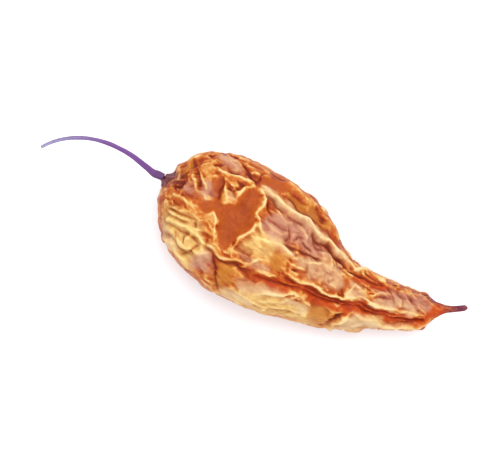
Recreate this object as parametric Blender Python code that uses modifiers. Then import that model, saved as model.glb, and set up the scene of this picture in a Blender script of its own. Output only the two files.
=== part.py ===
"""A dried chilli pepper lying on its side: the shrunken pod, the calyx on its shoulder, and the bent stem.

Metres, +Z up. +X runs from the stem to the pod's pointed tip. The pod rests on Z = 0, and the origin is
the middle of the whole pepper's footprint.
"""

import math

import bmesh
import bpy
from mathutils import Matrix, Vector

MM = 0.001

# Pod
POD_LENGTH = 67.8 * MM  # from the shoulder to the tip of the beak
POD_WIDTH = 29.0 * MM
POD_HEIGHT = 20.5 * MM  # from the flat that it rests on to its crown
REST_PRESS = 0.8 * MM  # how far its underside is pressed flat
LOBE_COUNT = 3  # one for each seed chamber
LOBE_DEPTH = 0.05  # share of the radius that the furrows between the lobes take
LOBE_TWIST = math.radians(50)  # how far the lobes wind from shoulder to tip
POD_SIDES = 14
SMOOTHING = 2  # subdivision levels

# Calyx, the dried cap that joins stem and pod
CALYX_RADIUS = 2.6 * MM
CALYX_THICKNESS = 0.5 * MM
CALYX_DROP = 0.4 * MM  # how far its rim falls below its middle
CALYX_NECK_RISE = 1.2 * MM  # how far it rises to meet the stem
CALYX_NECK_LIP = 0.15 * MM  # how far its neck stands out around the stem
CALYX_TEETH = 5
TOOTH_LENGTH = 0.6 * MM
NECK_SPREAD = 5.0  # the higher, the more sharply the neck narrows above the cap
CALYX_SINK = 0.5 * MM  # how far its middle sits into the shoulder
CALYX_SIDES = 40
SEAT_DRIFT = 0.04  # where it sits on the shoulder: towards +Y, as a share of the pod's width,
SEAT_RISE = 0.52  # and above the table, as a share of the pod's height

# Stem
STEM_LENGTH = 27.2 * MM
STEM_BASE_RADIUS = 1.05 * MM
STEM_END_RADIUS = 0.45 * MM
STEM_HEADING = math.radians(14)  # how far it first leans from -X towards +Y
STEM_TURN = math.radians(74)  # how far it then bends back towards -Y
STEM_PITCH = math.radians(12)  # how steeply it first climbs
STEM_DROOP = math.radians(34)  # how far it then bends down
BEND_GROWTH = 1.5  # above 1, the bend tightens towards the cut end
ROOT_LENGTH = 3.0 * MM  # over which it turns from the calyx's own direction into its bend
STEM_POINTS = 22

CLEARANCE = 0.3 * MM  # gap between pieces that touch
CUT_MARGIN = 10.0 * MM  # how far a cutter runs past what it cuts

# The pod's cage, one row for each ring of it from shoulder to tip. Each row holds the station as a share
# of the length, the centre line's sideways drift and lift as shares of the width and height, and the half
# width and half height as shares of the belly's. The first and last rows are the poles.
POD_RINGS = (
    (0.000, 0.050, 0.00, 0.000, 0.000),
    (0.004, 0.050, 0.00, 0.160, 0.160),
    (0.030, 0.042, 0.00, 0.440, 0.450),
    (0.075, 0.035, 0.00, 0.725, 0.735),
    (0.155, 0.010, 0.00, 0.945, 0.950),
    (0.284, -0.010, 0.00, 1.040, 1.040),
    (0.397, -0.002, 0.00, 1.040, 1.020),
    (0.505, -0.004, -0.04, 0.890, 0.900),
    (0.583, -0.056, -0.10, 0.665, 0.770),
    (0.657, -0.074, -0.14, 0.575, 0.680),
    (0.745, 0.000, -0.18, 0.455, 0.570),
    (0.833, 0.086, -0.20, 0.355, 0.440),
    (0.905, 0.120, -0.21, 0.310, 0.330),
    (0.938, 0.165, -0.20, 0.205, 0.215),
    (0.960, 0.235, -0.18, 0.095, 0.110),
    (0.978, 0.280, -0.17, 0.055, 0.065),
    (0.996, 0.315, -0.16, 0.045, 0.050),
    (1.000, 0.320, -0.16, 0.000, 0.000),
)

# Places where the skin has caved in: station along the pod, angle round it, depth and reach. An angle of 0
# faces +Y and 90 degrees faces up.
DENTS = (
    (0.26 * POD_LENGTH, math.radians(95), 1.6 * MM, 7.0 * MM),
    (0.47 * POD_LENGTH, math.radians(60), 1.3 * MM, 6.5 * MM),
    (0.62 * POD_LENGTH, math.radians(130), 1.4 * MM, 7.0 * MM),
    (0.24 * POD_LENGTH, math.radians(180), 1.0 * MM, 6.0 * MM),
    (0.33 * POD_LENGTH, math.radians(325), 1.5 * MM, 8.0 * MM),
    (0.40 * POD_LENGTH, math.radians(215), 1.2 * MM, 7.0 * MM),
)

SKIN_COLOUR = (0.56, 0.17, 0.03)
CALYX_COLOUR = (0.17, 0.08, 0.07)
STEM_COLOUR = (0.13, 0.07, 0.11)


def clear_scene():
    for obj in list(bpy.data.objects):
        bpy.data.objects.remove(obj)


def new_collection(name):
    collection = bpy.data.collections.new(name)
    bpy.context.scene.collection.children.link(collection)
    return collection


def dried_material(name, colour, roughness):
    material = bpy.data.materials.new(name)
    material.use_nodes = True
    shader = material.node_tree.nodes["Principled BSDF"]
    shader.inputs["Base Color"].default_value = (*colour, 1)
    shader.inputs["Roughness"].default_value = roughness
    shader.inputs["Metallic"].default_value = 0
    return material


def add_object(name, data, collection, material=None):
    obj = bpy.data.objects.new(name, data)
    collection.objects.link(obj)
    if material:
        data.materials.append(material)
    return obj


def ring_mesh(name, rows, sides, place):
    """A sphere with a ring for each row, or a pole for the first and last, moved to place(row, angle)."""
    form = bmesh.new()
    bands = len(rows) - 1
    bmesh.ops.create_uvsphere(form, u_segments=sides, v_segments=bands, radius=1)
    for vertex in form.verts:
        height = max(-1, min(1, vertex.co.z))
        row = rows[round(math.acos(height) / math.pi * bands)]
        vertex.co = place(row, math.atan2(vertex.co.y, vertex.co.x))
    form.normal_update()
    bmesh.ops.recalc_face_normals(form, faces=form.faces)
    mesh = bpy.data.meshes.new(name)
    form.to_mesh(mesh)
    form.free()
    mesh.shade_smooth()
    return mesh


def ring_centre(row):
    station, drift, lift, _, _ = row
    return Vector((station * POD_LENGTH, drift * POD_WIDTH, lift * POD_HEIGHT))


def pod_point(row, angle):
    """A point of the pod's cage, with its lobes but before its dents."""
    station, _, _, half_width, half_height = row
    lobes = 1 + LOBE_DEPTH * math.cos(LOBE_COUNT * angle + LOBE_TWIST * station)
    across = half_width * POD_WIDTH / 2 * math.cos(angle)
    up = half_height * POD_HEIGHT / 2 * math.sin(angle)
    return ring_centre(row) + lobes * Vector((0, across, up))


def section_at(along):
    """The cage row at a distance along the pod, between the two rows on either side of it."""
    station = along / POD_LENGTH
    after = next(i for i, row in enumerate(POD_RINGS) if row[0] >= station)
    low, high = POD_RINGS[after - 1], POD_RINGS[after]
    share = (station - low[0]) / (high[0] - low[0])
    return tuple(a + share * (b - a) for a, b in zip(low, high))


def dented(point, row):
    """The point moved in towards the pod's centre line by the dents near it."""
    inward = ring_centre(row) - point
    for along, angle, depth, reach in DENTS:
        away = (point - pod_point(section_at(along), angle)).length
        if inward.length > depth:
            point = point + inward.normalized() * depth * math.exp(-((away / reach) ** 2))
    return point


def smoothed(obj):
    modifier = obj.modifiers.new("Smooth form", "SUBSURF")
    modifier.levels = SMOOTHING
    modifier.render_levels = SMOOTHING


def evaluated_points(obj):
    """The object's points as its modifiers leave them, in world space."""
    bpy.context.view_layer.update()
    shown = obj.evaluated_get(bpy.context.evaluated_depsgraph_get())
    mesh = shown.to_mesh()
    points = [shown.matrix_world @ vertex.co for vertex in mesh.vertices]
    shown.to_mesh_clear()
    return points


def box_of(points):
    low = Vector(min(point[axis] for point in points) for axis in range(3))
    high = Vector(max(point[axis] for point in points) for axis in range(3))
    return low, high


def fit_to_sizes(obj, low, high):
    """Stretches the mesh so that its smooth form exactly fills the box from low to high."""
    old_low, old_high = box_of(evaluated_points(obj))
    scale = [(b - a) / (d - c) for a, b, c, d in zip(low, high, old_low, old_high)]
    obj.data.transform(Matrix.Translation(-old_low))
    obj.data.transform(Matrix.Diagonal((*scale, 1)))
    obj.data.transform(Matrix.Translation(low))


def subtract(obj, cutter):
    cut = obj.modifiers.new(cutter.name, "BOOLEAN")
    cut.operation = "DIFFERENCE"
    cut.object = cutter
    cutter.hide_render = True
    cutter.display_type = "WIRE"


def build_pod(parts):
    mesh = ring_mesh("pod", POD_RINGS, POD_SIDES, lambda row, angle: dented(pod_point(row, angle), row))
    pod = add_object("pod", mesh, parts, dried_material("dried_skin", SKIN_COLOUR, 0.42))
    smoothed(pod)
    half_width = POD_WIDTH / 2
    fit_to_sizes(
        pod,
        low=Vector((0, -half_width, -REST_PRESS)),
        high=Vector((POD_LENGTH, half_width, POD_HEIGHT)),
    )
    return pod


def table_cutter(cutters):
    """A box below Z = 0, which leaves the pod the flat that it rests on."""
    form = bmesh.new()
    bmesh.ops.create_cube(form, size=1)
    mesh = bpy.data.meshes.new("rest_flat")
    form.to_mesh(mesh)
    form.free()
    size = Vector((POD_LENGTH, POD_WIDTH, REST_PRESS)) + 2 * Vector([CUT_MARGIN] * 3)
    mesh.transform(Matrix.Diagonal((*size, 1)))
    cutter = add_object("rest_flat", mesh, cutters)
    cutter.location = (POD_LENGTH / 2, 0, -size.z / 2)
    return cutter


def bend_direction(share):
    """Which way the stem's bend runs at a share of its length from the pod."""
    bent = share**BEND_GROWTH
    heading = STEM_HEADING - STEM_TURN * bent
    pitch = STEM_PITCH - STEM_DROOP * bent
    return Vector(
        (
            -math.cos(heading) * math.cos(pitch),
            math.sin(heading) * math.cos(pitch),
            math.sin(pitch),
        )
    )


def calyx_seat(pod):
    """The calyx's place on the shoulder, with +Z halfway between the skin's normal and the stem's bend."""
    before_shoulder = Vector((-CUT_MARGIN, SEAT_DRIFT * POD_WIDTH, SEAT_RISE * POD_HEIGHT))
    bpy.context.view_layer.update()
    shown = pod.evaluated_get(bpy.context.evaluated_depsgraph_get())
    _, surface, normal, _ = shown.ray_cast(before_shoulder, Vector((1, 0, 0)))
    direction = (normal + bend_direction(0)).normalized()
    turn = direction.to_track_quat("Z", "Y").to_matrix().to_4x4()
    return Matrix.Translation(surface - CALYX_SINK * direction) @ turn


def calyx_fall(radius):
    """How far the calyx's underside falls away from its middle, out to a radius along the shoulder."""
    return CALYX_DROP * (radius / CALYX_RADIUS) ** 2


def calyx_rows():
    """(radius, height) of each ring: over the top from the neck to the rim, and back underneath."""
    neck_radius = STEM_BASE_RADIUS + CALYX_NECK_LIP
    flare = CALYX_RADIUS - neck_radius
    stations = [neck_radius + share * flare for share in (0.06, 0.18, 0.40, 0.70, 0.95)]
    top = [(0, CALYX_NECK_RISE), (neck_radius, CALYX_NECK_RISE)]
    for radius in stations:
        neck = (CALYX_NECK_RISE - CALYX_THICKNESS) * math.exp(-NECK_SPREAD * (radius - neck_radius) / flare)
        top.append((radius, CALYX_THICKNESS + neck - calyx_fall(radius)))
    rim = [(CALYX_RADIUS, CALYX_THICKNESS / 2 - calyx_fall(CALYX_RADIUS))]
    underside = [(radius, -calyx_fall(radius)) for radius in reversed(stations)]
    return [*top, *rim, *underside, (0, 0)]


def calyx_point(row, angle):
    radius, height = row
    tooth = abs(math.cos(CALYX_TEETH * angle / 2)) ** 6
    reach = radius + tooth * TOOTH_LENGTH * (radius / CALYX_RADIUS) ** 4
    return Vector((reach * math.cos(angle), reach * math.sin(angle), height))


def build_calyx(parts, seat):
    mesh = ring_mesh("calyx", calyx_rows(), CALYX_SIDES, calyx_point)
    calyx = add_object("calyx", mesh, parts, dried_material("dried_calyx", CALYX_COLOUR, 0.7))
    calyx.matrix_world = seat
    return calyx


def seat_cutter(cutters, seat):
    """The room that the calyx takes on the pod's shoulder: all that is in front of its underside."""
    reach = CALYX_RADIUS + TOOTH_LENGTH + CLEARANCE
    stations = [share * reach for share in (0.25, 0.5, 0.75, 1.0)]
    floor = [(radius, -calyx_fall(radius) - CLEARANCE) for radius in reversed(stations)]
    rows = [(0, CUT_MARGIN), (reach, CUT_MARGIN), *floor, (0, -CLEARANCE)]

    def place(row, angle):
        radius, height = row
        return Vector((radius * math.cos(angle), radius * math.sin(angle), height))

    cutter = add_object("calyx_seat", ring_mesh("calyx_seat", rows, CALYX_SIDES, place), cutters)
    cutter.matrix_world = seat
    return cutter


def stem_path(seat):
    """The stem's centre line, stepped along its bend from just above the calyx's neck."""
    point = seat @ Vector((0, 0, CALYX_NECK_RISE + CLEARANCE))
    upright = seat.to_3x3() @ Vector((0, 0, 1))
    step = STEM_LENGTH / (STEM_POINTS - 1)
    path = [point]
    for index in range(1, STEM_POINTS):
        share = (index - 0.5) / (STEM_POINTS - 1)
        turned = min(1, (index - 1) * step / ROOT_LENGTH)
        point = point + step * upright.slerp(bend_direction(share), turned)
        path.append(point)
    return path


def build_stem(parts, seat):
    curve = bpy.data.curves.new("stem", "CURVE")
    curve.dimensions = "3D"
    curve.bevel_depth = STEM_BASE_RADIUS
    curve.bevel_resolution = 2
    curve.use_fill_caps = True
    spline = curve.splines.new("POLY")
    path = stem_path(seat)
    spline.points.add(len(path) - 1)
    for index, (knot, point) in enumerate(zip(spline.points, path)):
        share = index / (len(path) - 1)
        knot.co = (*point, 1)
        knot.radius = (STEM_END_RADIUS / STEM_BASE_RADIUS) ** math.sqrt(share)
    return add_object("stem", curve, parts, dried_material("dried_stem", STEM_COLOUR, 0.6))


def stand_on_origin(parts):
    """Moves everything by one empty, so that the footprint's middle is the origin."""
    points = [point for obj in parts.objects for point in evaluated_points(obj)]
    low, high = box_of(points)
    frame = bpy.data.objects.new("pepper_frame", None)
    bpy.context.scene.collection.objects.link(frame)
    for obj in list(bpy.data.objects):
        if obj is not frame:
            obj.parent = frame
    frame.location = (-(low.x + high.x) / 2, -(low.y + high.y) / 2, -low.z)


def main():
    clear_scene()
    parts = new_collection("dried_chilli_pepper")
    cutters = new_collection("cutters")
    pod = build_pod(parts)
    seat = calyx_seat(pod)
    build_calyx(parts, seat)
    build_stem(parts, seat)
    subtract(pod, seat_cutter(cutters, seat))
    subtract(pod, table_cutter(cutters))
    stand_on_origin(parts)


main()
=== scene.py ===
import math

import bpy
import numpy as np
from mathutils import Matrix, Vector
from mathutils.bvhtree import BVHTree
from mathutils.kdtree import KDTree


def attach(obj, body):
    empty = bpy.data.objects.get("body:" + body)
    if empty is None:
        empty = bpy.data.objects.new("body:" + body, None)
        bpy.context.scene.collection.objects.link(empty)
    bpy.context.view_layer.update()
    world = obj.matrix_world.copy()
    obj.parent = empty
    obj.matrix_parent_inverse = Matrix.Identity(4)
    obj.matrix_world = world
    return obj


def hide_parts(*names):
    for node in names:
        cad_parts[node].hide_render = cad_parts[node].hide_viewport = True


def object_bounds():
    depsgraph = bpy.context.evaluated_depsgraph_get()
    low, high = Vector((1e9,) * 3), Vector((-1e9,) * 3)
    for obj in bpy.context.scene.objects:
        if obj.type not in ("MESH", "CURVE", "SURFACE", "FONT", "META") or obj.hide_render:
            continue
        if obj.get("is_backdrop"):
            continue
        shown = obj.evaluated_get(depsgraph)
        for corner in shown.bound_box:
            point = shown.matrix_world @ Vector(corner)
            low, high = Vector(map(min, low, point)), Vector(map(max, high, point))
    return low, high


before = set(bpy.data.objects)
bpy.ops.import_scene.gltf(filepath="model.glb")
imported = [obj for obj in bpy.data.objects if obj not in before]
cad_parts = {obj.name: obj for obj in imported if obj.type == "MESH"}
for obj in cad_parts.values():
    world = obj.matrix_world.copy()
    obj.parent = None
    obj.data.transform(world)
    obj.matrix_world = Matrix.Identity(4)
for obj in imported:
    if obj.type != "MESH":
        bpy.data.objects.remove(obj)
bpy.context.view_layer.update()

# A dried chilli pepper. Its pod is a sheet of skin stretched over folds, hollows and creases and then
# dried until the spare length buckles. A toothed calyx and a ribbed stem are lofted beside it.
# Lengths in the dictionaries are millimetres, and colours are sRGB hex.

mm = 0.001


def linearColour(hexCode):
    parts = [int(hexCode[i:i + 2], 16) / 255 for i in (1, 3, 5)]
    return (*[c / 12.92 if c <= 0.04045 else ((c + 0.055) / 1.055) ** 2.4 for c in parts], 1)


def addNode(tree, kind, inputs=None, **settings):
    made = tree.nodes.new(kind)
    for name, value in settings.items():
        setattr(made, name, value)
    for name, value in (inputs or {}).items():
        if isinstance(value, bpy.types.NodeSocket):
            tree.links.new(value, made.inputs[name])
        else:
            made.inputs[name].default_value = value
    return made


def unit(vectors):
    return vectors / np.maximum(np.linalg.norm(vectors, axis=-1, keepdims=True), 1e-9)


def sideAndUp(heading):
    side = unit(np.cross(heading, (0, 0, 1)))
    return side, np.cross(side, heading)


def lengthsAlong(line):
    return np.concatenate([[0], np.cumsum(np.linalg.norm(np.diff(line, axis=0), axis=1))])


def smoothStep(value, low, high):
    share = np.clip((value - low) / (high - low), 0, 1)
    return share * share * (3 - 2 * share)


def waveNoise(points, size, seed, waves=20):
    # a smooth random field, about -1 to 1, whose bumps are about size mm across
    draw = np.random.default_rng(seed)
    directions = unit(draw.normal(size=(waves, 3))) * (math.pi / size) * draw.uniform(0.6, 1.4, (waves, 1))
    phases = draw.uniform(0, 2 * math.pi, waves)
    field = np.zeros(points.shape[:-1])
    for direction, phase in zip(directions, phases):
        field += np.sin(points @ direction + phase)
    return field / math.sqrt(waves / 2) / 1.8  # keeps nearly all of it within -1 to 1


def waveDrift(points, size, seeds):
    return np.stack([waveNoise(points, size, seed) for seed in seeds], axis=-1)


def addObject(name, data):
    made = bpy.data.objects.new(name, data)
    bpy.context.scene.collection.objects.link(made)
    return made


def meshObject(name, points, faces):
    mesh = bpy.data.meshes.new(name)
    mesh.from_pydata([tuple(p) for p in points], [], faces)
    mesh.shade_smooth()
    return addObject(name, mesh)


def formOf(thing):
    # a mesh object's points in millimetres, and its surface for rays to hit
    points = np.array([v.co for v in thing.data.vertices]) / mm
    faces = [tuple(p.vertices) for p in thing.data.polygons]
    return points, BVHTree.FromPolygons([Vector(p) for p in points], faces)


def newMaterial(name):
    made = bpy.data.materials.new(name)
    made.use_nodes = True
    return made, made.node_tree, made.node_tree.nodes["Principled BSDF"]


def finishShader(tree, shader, colour, roughness, height, strength, depth):
    # joins up the colour and the roughness, and raises the grain by depth mm
    for value, name in ((colour, "Base Color"), (roughness, "Roughness")):
        if isinstance(value, bpy.types.NodeSocket):
            tree.links.new(value, shader.inputs[name])
        else:
            shader.inputs[name].default_value = value
    bump = addNode(tree, "ShaderNodeBump", {"Height": height, "Strength": strength, "Distance": depth * mm})
    tree.links.new(bump.outputs["Normal"], shader.inputs["Normal"])


def gridFaces(rows, columns):
    # a tube of rings with a fan to one pole at each end; the poles' points follow the rings' own
    faces = []
    for j in range(rows - 1):
        for i in range(columns):
            k = (i + 1) % columns
            faces.append((j * columns + i, j * columns + k, (j + 1) * columns + k, (j + 1) * columns + i))
    first, last = rows * columns, rows * columns + 1
    for i in range(columns):
        k = (i + 1) % columns
        faces.append((first, k, i))
        faces.append((last, (rows - 1) * columns + i, (rows - 1) * columns + k))
    return faces


def storeValue(thing, name, values):
    layer = thing.data.attributes.new(name, "FLOAT", "POINT")
    layer.data.foreach_set("value", np.asarray(values, np.float32).ravel())


# Pod: places are (along from the shoulder, across towards +Y), seen from above. Rises count up from the
# flesh, and hollows are below 0.
podSkin = {
    "around": 300,  # both divide by 4
    "along": 316,
    "sink": 0.75,  # how far the flesh lies under the plain form, for the folds to stand on
    "extraRound": 0.2,  # share by which the skin is too long for the flesh, around it
    "extraLong": 0.15,  # and along it
    "tallest": 1.3,  # how far the skin may lift off the flesh
    "table": 0.03,  # height of the lowest skin
    "seed": 5,
    "evenRounds": 12,
    "spineStations": 40,
    "spineStart": 0.20,  # where the rays stop fanning round the shoulder, as a share of the spine
    "spineEnd": 0.905,  # where they stop and the beak's own rings begin
    "fanShare": 0.19,  # share of the rings that fan
    "tipAlong": 66.5,  # where along the pod its tip lies
    # along, across and half width of the thin beak at the tip
    "beakRows": 26,
    "beak": [(61.2, 5.2, 1.7), (62.2, 6.0, 1.1), (63.1, 6.6, 0.74), (64.3, 7.3, 0.62), (66.7, 9.0, 0.6)],
    "beakHeight": 6.9,
    "lineWidth": 0.22,  # half width of a fold's crest or a crease's bottom
    "lineHold": 8,  # how firmly the sheet is held on them
    "sheetHold": 0.02,  # and how firmly everywhere
    "sheetRounds": 260,
    "topFrom": (-0.1, 0.35),  # how far up the surface faces where the placed folds start and are whole
    "beakCalm": (0.6, 5.0),  # radii between which the skin starts to wrinkle, since the beak is too thin
    "neckCalm": (0.045, 0.10),  # shares of the rings that the calyx holds still
    "calmest": 0.9,  # share of the spare length that calm skin loses
    "rim": (0.05, 0.22),  # how far up the surface faces at the outline seen from above, and either side of it
    # where the surface faces sideways; a paler, greyer pink is laid there by facing alone, a painted sheen
    "flank": (0.12, 0.22),
    "startLift": 0.05,  # how far off the flesh the skin starts, give or take as much
    "plumFrom": (61.8, 65.0),  # where along it the beak turns violet
    "wander": [(0.3, 3, 0), (0.14, 1.3, 2)],  # how far lines stray, over what length, and their seed steps
    # how each tone's patches end, in mm of soft edge, and how firmly they hold their own rise
    "tones": {"burnt": (0.3, 0.5), "red": (0.5, 0.2), "gold": (0.7, 0.2), "pink": (0.9, 0.2),
              "cream": (0.8, 0.2), "dark": (0.4, 0.2), "yellow": (1.3, 0.0)},
    # random patchworks with a fold or a crease on each edge: how many patches, how far the edges bend, how
    # much they are drawn out along the pod, their half width, height and hold
    "patchworks": {
        "broad": {"count": 120, "seed": 40, "warp": 1.2, "narrow": 0.6, "width": 0.32, "tall": 0.8,
                  "hold": 3},
        "fine": {"count": 1200, "seed": 50, "warp": 0.6, "narrow": 0.38, "width": 0.17, "tall": 0.4,
                 "hold": 1.5},
    },
    # stride over the grid, rounds and share of the spare length, from the largest buckles to the smallest
    "drying": [(4, 200, 0.75), (2, 160, 0.9), (1, 90, 1.0)],
    "crestReach": 0.45,  # a crest is skin above its surroundings this far round it
    "swellReach": 2.0,
    # height and points of the folds that stand out
    "ridges": [
        (0.9, [(8, -5.5), (10, -5.5), (12, -6), (14, -6), (17, -7), (20, -6), (22.5, -5), (24, -3.5),
               (26, -2.5)]),
        (0.9, [(19, -6), (18.5, -4), (18.5, -1.5), (19.5, 0), (20, 1.5), (20, 2.5)]),
        (1.0, [(17.5, 10), (19, 7.5), (19.5, 6), (19, 4.5), (21, 3), (22.5, 2)]),
        (0.8, [(10, -1), (11.5, 0.5), (12.5, -1), (14.5, -5), (16.5, -6)]),
        (0.6, [(10, -1), (11.5, -2), (13.5, -3.5), (14.5, -5)]),
        (0.8, [(2.5, -3), (4.5, -2.5), (6.5, -1.5), (9.5, -2), (11.5, -1)]),
        (0.7, [(2.8, -4.2), (4.5, -4.2), (6.5, -3.6), (7.5, -3.6)]),
        (0.8, [(3.5, -6), (5, -5.6), (7.5, -5), (9.5, -5), (11.5, -4), (13.5, -4)]),
        (0.8, [(8.5, -9), (9, -7.5), (9.5, -6)]),
        (0.8, [(4, -7.4), (6, -7.6), (7.5, -8.2), (9.5, -8.6), (11.5, -8.2)]),
        (0.7, [(5, -9.4), (7, -10), (9, -10.8), (11, -11)]),
        (0.8, [(2, -0.5), (4.5, 0), (8, -1)]),
        (1.0, [(3.5, 5.5), (5.5, 3)]),
        (1.0, [(4, 7.5), (6, 5), (7.5, 4)]),
        (0.8, [(15, 10.5), (12.5, 9.5), (10.5, 9), (8, 9)]),
        (0.9, [(10.5, 7.5), (11, 6), (12.5, 4), (14, 4), (14, 6), (14.5, 8.5), (15.5, 10)]),
        (1.0, [(17.5, 10), (19.5, 10), (21.5, 9.5), (24, 9), (26.5, 9), (29, 9), (31, 8), (33, 7.5),
               (35.5, 7), (38, 6.5), (40, 5.5), (42, 5), (43, 5.5), (45, 6), (49, 6)]),
        (0.7, [(21.5, 0.5), (23.5, 0.5), (26, 1), (28, 1), (30.5, 0.5), (31.5, 1.5)]),
        (0.6, [(29.5, -0.5), (30.5, -1), (32.5, -1), (34, -1)]),
        (0.6, [(24.5, -6), (26.5, -5.5), (28, -5.5), (29, -4.5)]),
        (1.0, [(30.5, -3), (32.5, -3), (36, -2.5), (41, -2.5), (43, -2), (46.5, 0), (49, 0), (52, 1)]),
        (0.8, [(24, -10.5), (26.5, -10.5), (29, -9), (31.5, -7.5), (34, -6.2), (36, -6.2), (38, -6.8)]),
        (0.5, [(28, -11), (30, -10.5), (32.5, -9.5)]),
        (0.5, [(32.5, -10), (33.5, -8), (34.5, -7), (36.5, -6.5)]),
        (0.7, [(22, -11.5), (24, -11.5), (27, -11.5), (30, -11.5), (33, -10.5), (36, -9.5), (38.5, -9)]),
        (0.4, [(42, -4), (43, -4), (44, -2.7)]),
        (0.7, [(48.5, 2), (50, 3.5), (52, 4.5)]),
        (0.8, [(48.5, -0.5), (51, 0.5), (53.5, 1.5), (55.5, 2), (58, 2.5), (59.5, 3.5)]),
        (0.5, [(54, 4), (54.5, 2.5)]),
        (0.5, [(55, 4.5), (56, 4), (57, 3.5)]),
        (0.5, [(57.5, 4.5), (59.5, 4)]),
        (0.9, [(44, -9.5), (45, -6), (46.5, -3.8), (49, -3.7), (53, -3), (56.5, -1.5), (59.5, 0), (62, 3)]),
        (0.7, [(1, 6.5), (3, 9.5), (4.5, 11.5), (7, 12)]),
        (0.6, [(32.5, 0.5), (36, 2.5), (40.5, 2), (42.5, 3)]),
        (0.6, [(43.5, -1), (44, 2), (47, 1)]),
        (0.6, [(7.5, -9), (10.5, -8.5), (13, -8.5), (14.5, -7)]),
        (0.7, [(22, 13.5), (27, 13), (31, 12), (34.5, 9.8)]),
        (0.5, [(22.5, 7.5), (24, 6.5), (25.5, 6), (26.5, 6.5)]),
        (0.5, [(23, 4), (24.5, 3.5), (26, 3.5), (27, 4.5)]),
        (0.4, [(28.5, 7), (30, 6), (31, 5.5)]),
        (0.4, [(34.5, 4.5), (36, 4), (37.5, 3)]),
        (0.4, [(8, 13), (9.5, 11.5), (11, 11)]),
    ],
    # depth and points of the creases
    "creases": [
        (0.6, [(22, 11), (23, 11), (25.5, 10.5), (27.5, 9.8), (30.5, 9.4), (33.5, 8.7), (36, 7.7),
               (37.5, 7.2)]),
        (0.9, [(31.5, 7.2), (33.5, 6), (36, 6), (38.5, 5), (41, 4)]),
        (0.5, [(19, 9), (20.5, 9), (22.5, 8), (23.5, 8)]),
        (0.6, [(20, 7.5), (20.5, 6.5), (22.5, 6)]),
        (0.7, [(26.5, 5.5), (27.5, 4), (27.5, 2.5)]),
        (0.8, [(28, 1.8), (29.5, 2), (30.5, 2.5), (33, 3), (35.5, 3)]),
        (0.5, [(30, 4.5), (31.5, 4), (33, 4)]),
        (0.7, [(13, -6.6), (15, -7), (16, -7.7), (18.5, -7.7), (20, -6.9), (22.5, -7)]),
        (0.8, [(15.5, -7.5), (16.5, -9), (18, -11), (19.5, -13.5)]),
        (0.4, [(2.4, -3.6), (4.5, -3.4), (6.5, -2.7), (9, -2.7)]),
        (0.4, [(2.8, -5.2), (5, -4.8), (7.5, -4.2)]),
        (0.4, [(9, -3.2), (9.6, -4.4)]),
        (0.3, [(6.2, -6.9), (6.6, -8)]),
        (0.3, [(8.4, -7), (8.8, -8.4)]),
        (0.4, [(12.6, -5), (13, -6.2)]),
        (0.5, [(3.6, -6.8), (5.5, -6.4), (7.5, -6.4), (9.5, -6.6), (11.5, -6.9)]),
        (0.4, [(4.4, -8.6), (6.5, -9), (8.5, -9.7), (10.5, -9.8)]),
        (0.6, [(11.5, -7), (11, -9.5), (10, -10.5)]),
        (0.7, [(4, 6.8), (5, 5.3), (6, 3.5)]),
        (0.6, [(9, 10.5), (11, 10), (12, 10.5)]),
        (0.7, [(11.5, 12.5), (13, 12), (14.5, 11), (16, 11), (16.5, 13.5)]),
        (0.5, [(11.5, 6.5), (13, 6.5), (13.5, 8)]),
        (0.6, [(10.5, 7.5), (10.2, 5.5), (11, 3.2)]),
        (0.7, [(1, 1.5), (2, 1.5), (2.5, 2), (2.5, 3)]),
        (0.6, [(1.5, 3.5), (2, 4.5), (2.5, 5)]),
        (0.6, [(33, -11), (35, -10), (37, -9.5)]),
        (0.7, [(43.3, -9), (43.8, -7.5), (44.2, -5.5)]),
        (0.6, [(41.5, 4), (44, 4.5), (46.5, 4.5), (48.5, 5)]),
        (0.5, [(49, 1.5), (50.5, 3), (52, 3.5)]),
        (0.5, [(55.5, -1), (57, -0.5), (58.5, 1)]),
        (0.5, [(42.2, 0), (43, -1.6)]),
        (0.6, [(22, 5), (23.5, 5.2), (25.5, 4.6), (26.5, 5)]),
        (0.5, [(28.5, 3.5), (29, 5), (30, 5.2)]),
        (0.5, [(32.5, 6.2), (33.5, 4.8), (35, 4.8)]),
        (0.5, [(25, 7.6), (27, 7.4), (29, 7.6)]),
        (0.4, [(50.5, 5), (52, 4), (53, 2.6)]),
        (0.4, [(52.5, 5.8), (54, 4.6), (54.8, 3.2)]),
        (0.4, [(55, 5.6), (56.2, 4.6)]),
        (1.1, [(25, -7.3), (28, -6.8), (31.5, -5.5), (34, -4.6), (37, -4.4), (41, -4.2), (44.5, -3),
               (47.5, -2), (50.5, -2), (54, -0.6), (57, 0.4), (60, 2)]),
        (0.9, [(30, -3.9), (33, -3.8), (36, -3.4), (40, -3.3), (42, -3.2), (44.5, -2.4), (47.5, -1.2),
               (50.5, -1), (54, 0.4), (56, 1.3)]),
    ],
    # rise and corners of the broad smooth places
    "burnt": [
        (-1.5, [(8, 1.5), (11, 3), (12.5, 3), (13.5, 4), (14, 6), (15.5, 8.5), (16.5, 10), (18.5, 6.5),
                (19, 3.5), (20, 2), (19.5, 0.5), (18, -1.5), (17.5, -3), (17.5, -5), (16.5, -5.5),
                (15, -4.5), (13, -0.5), (12, 0.5), (9.5, -0.5), (7.5, 0)]),
        (-0.7, [(7.5, 5.5), (9, 7.5), (10.5, 7), (11, 5.5), (11, 3.5), (10, 3.5)]),
        (-0.5, [(16.5, 11.5), (18, 13), (21.5, 14), (23.5, 13), (22.5, 11.5), (21, 11), (17.5, 11)]),
        (-0.5, [(41, 1.5), (42.5, 2.5), (43, 0), (43, -1.5), (41, -1)]),
    ],
    "red": [
        (-0.7, [(24.5, -8), (25, -6), (27, -6), (30, -5), (31.5, -4.5), (33.5, -4.5), (33.5, -5.5),
                (31, -7), (29, -8), (27, -8)]),
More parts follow.
